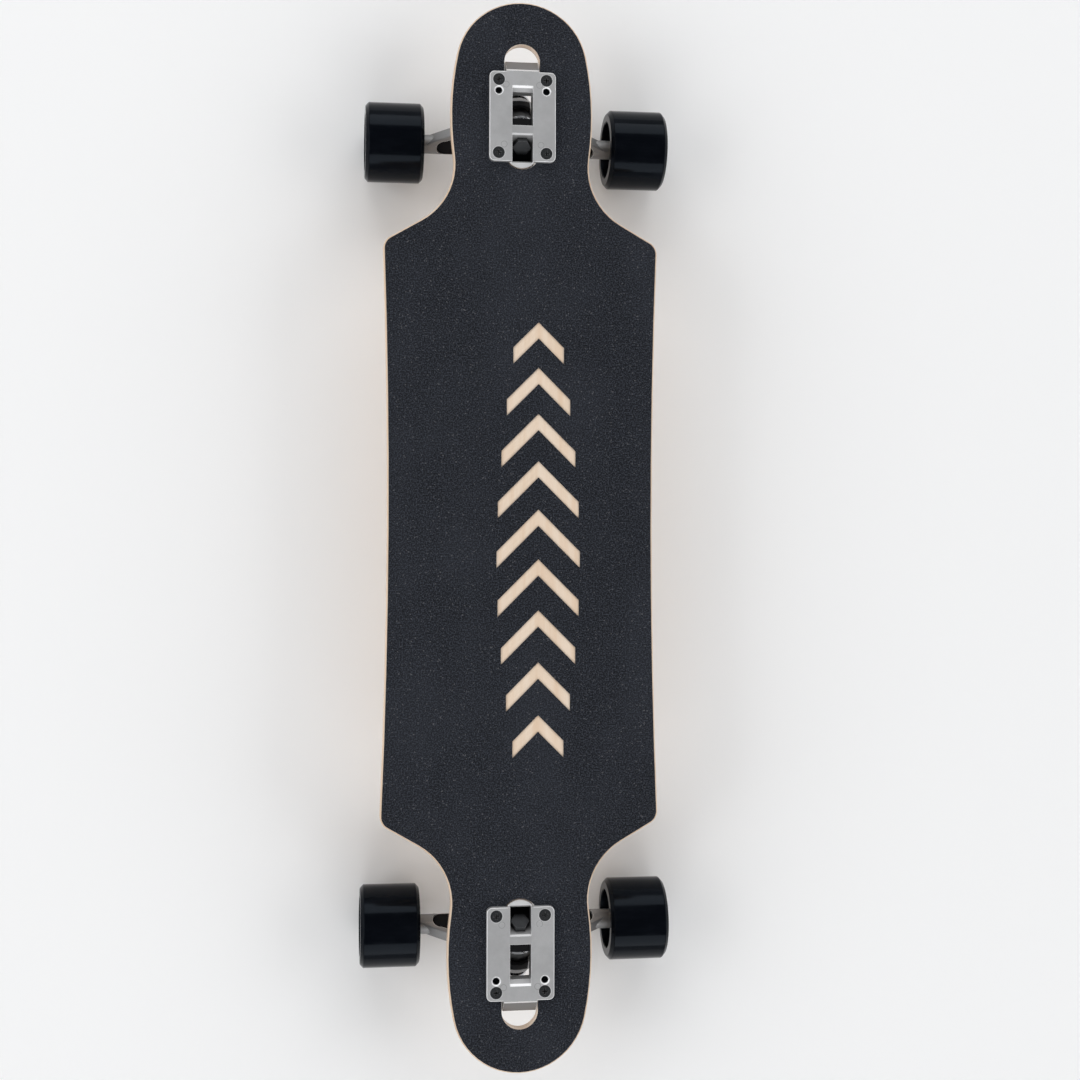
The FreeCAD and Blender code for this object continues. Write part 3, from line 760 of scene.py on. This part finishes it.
class LONGBOARD_OT_stage(bpy.types.Operator):
    """Pale floor, soft lights and the camera"""
    bl_idname = "longboard.stage"
    bl_label = "Set the stage"

    def execute(self, context):
        scene = context.scene
        settings = scene.longboard_stage
        self.floor(scene, settings)
        self.softbox("nose_softbox", (0, 2.8, 1.7), (3.4, 1.8), 44)
        self.softbox("tail_softbox", (0, -2.8, 1.7), (3.4, 1.8), 40)
        self.softbox("left_softbox", (-2.8, 0, 1.8), (3.0, 1.8), 42)
        self.softbox("right_softbox", (2.8, 0, 1.8), (3.0, 1.8), 34)
        self.surroundings(scene)
        self.camera(scene, settings)
        return {"FINISHED"}

    @staticmethod
    def floor(scene, settings):
        half = 6.0
        corners = [(-half, -half, 0), (half, -half, 0), (half, half, 0), (-half, half, 0)]
        mesh = bpy.data.meshes.new("studio_floor")
        mesh.from_pydata(corners, [], [(0, 1, 2, 3)])
        floor = bpy.data.objects.new("studio_floor", mesh)
        scene.collection.objects.link(floor)
        finish = Finish("floor_paint")
        finish.surface(Base_Color=settings.floor, Roughness=0.9)
        mesh.materials.append(finish.material)

    @staticmethod
    def softbox(name, place, size, power):
        lamp = bpy.data.lights.new(name, "AREA")
        lamp.shape = "RECTANGLE"
        lamp.size, lamp.size_y = size
        lamp.energy = power
        box = bpy.data.objects.new(name, lamp)
        bpy.context.scene.collection.objects.link(box)
        box.location = place
        box.rotation_euler = (-Vector(place)).to_track_quat("-Z", "Y").to_euler()

    @staticmethod
    def surroundings(scene):
        world = bpy.data.worlds.new("studio")
        world.use_nodes = True
        nodes, links = world.node_tree.nodes, world.node_tree.links
        sky = nodes["Background"]
        sky.inputs["Color"].default_value = (0.95, 0.97, 1, 1)
        place = nodes.new("ShaderNodeTexCoord")
        split = nodes.new("ShaderNodeSeparateXYZ")
        dimmer = nodes.new("ShaderNodeMapRange")
        links.new(place.outputs["Generated"], split.inputs[0])
        links.new(split.outputs["Z"], dimmer.inputs["Value"])
        for key, value in (("From Min", 0.15), ("From Max", 0.85), ("To Min", 0.60), ("To Max", 0.14)):
            dimmer.inputs[key].default_value = value
        links.new(dimmer.outputs[0], sky.inputs["Strength"])
        scene.world = world
        scene.view_settings.view_transform = "Standard"

    @staticmethod
    def camera(scene, settings):
        data = bpy.data.cameras.new("camera")
        data.lens = settings.lens
        data.sensor_width = 36
        data.shift_y = settings.shift
        camera = bpy.data.objects.new("camera", data)
        scene.collection.objects.link(camera)
        camera.location = settings.camera_place
        camera.rotation_euler = settings.camera_turn
        scene.camera = camera


STEPS = (
    LONGBOARD_OT_stage, LONGBOARD_OT_finishes, LONGBOARD_OT_grit,
    LONGBOARD_OT_threads, LONGBOARD_OT_seals)
SETTINGS = {
    "longboard_board": BoardSettings, "longboard_truck": TruckSettings,
    "longboard_wheel": WheelSettings, "longboard_stage": StageSettings}


class LONGBOARD_PT_sidebar(bpy.types.Panel):
    """Steps that dress the longboard"""
    bl_idname = "LONGBOARD_PT_sidebar"
    bl_label = "Longboard"
    bl_space_type = "VIEW_3D"
    bl_region_type = "UI"
    bl_category = "Longboard"

    def draw(self, context):
        for step in STEPS:
            self.layout.operator(step.bl_idname)
        for name, group in SETTINGS.items():
            box = self.layout.box()
            box.label(text=group.__doc__)
            for field in group.__annotations__:
                box.prop(getattr(context.scene, name), field)


def register():
    for cls in (*SETTINGS.values(), *STEPS, LONGBOARD_PT_sidebar):
        bpy.utils.register_class(cls)
    for name, group in SETTINGS.items():
        setattr(bpy.types.Scene, name, bpy.props.PointerProperty(type=group))


def unregister():
    for name in SETTINGS:
        delattr(bpy.types.Scene, name)
    for cls in reversed((*SETTINGS.values(), *STEPS, LONGBOARD_PT_sidebar)):
        bpy.utils.unregister_class(cls)


def main():
    register()
    for step in STEPS:
        area, name = step.bl_idname.split(".")
        getattr(getattr(bpy.ops, area), name)()


if __name__ == "__main__":
    main()
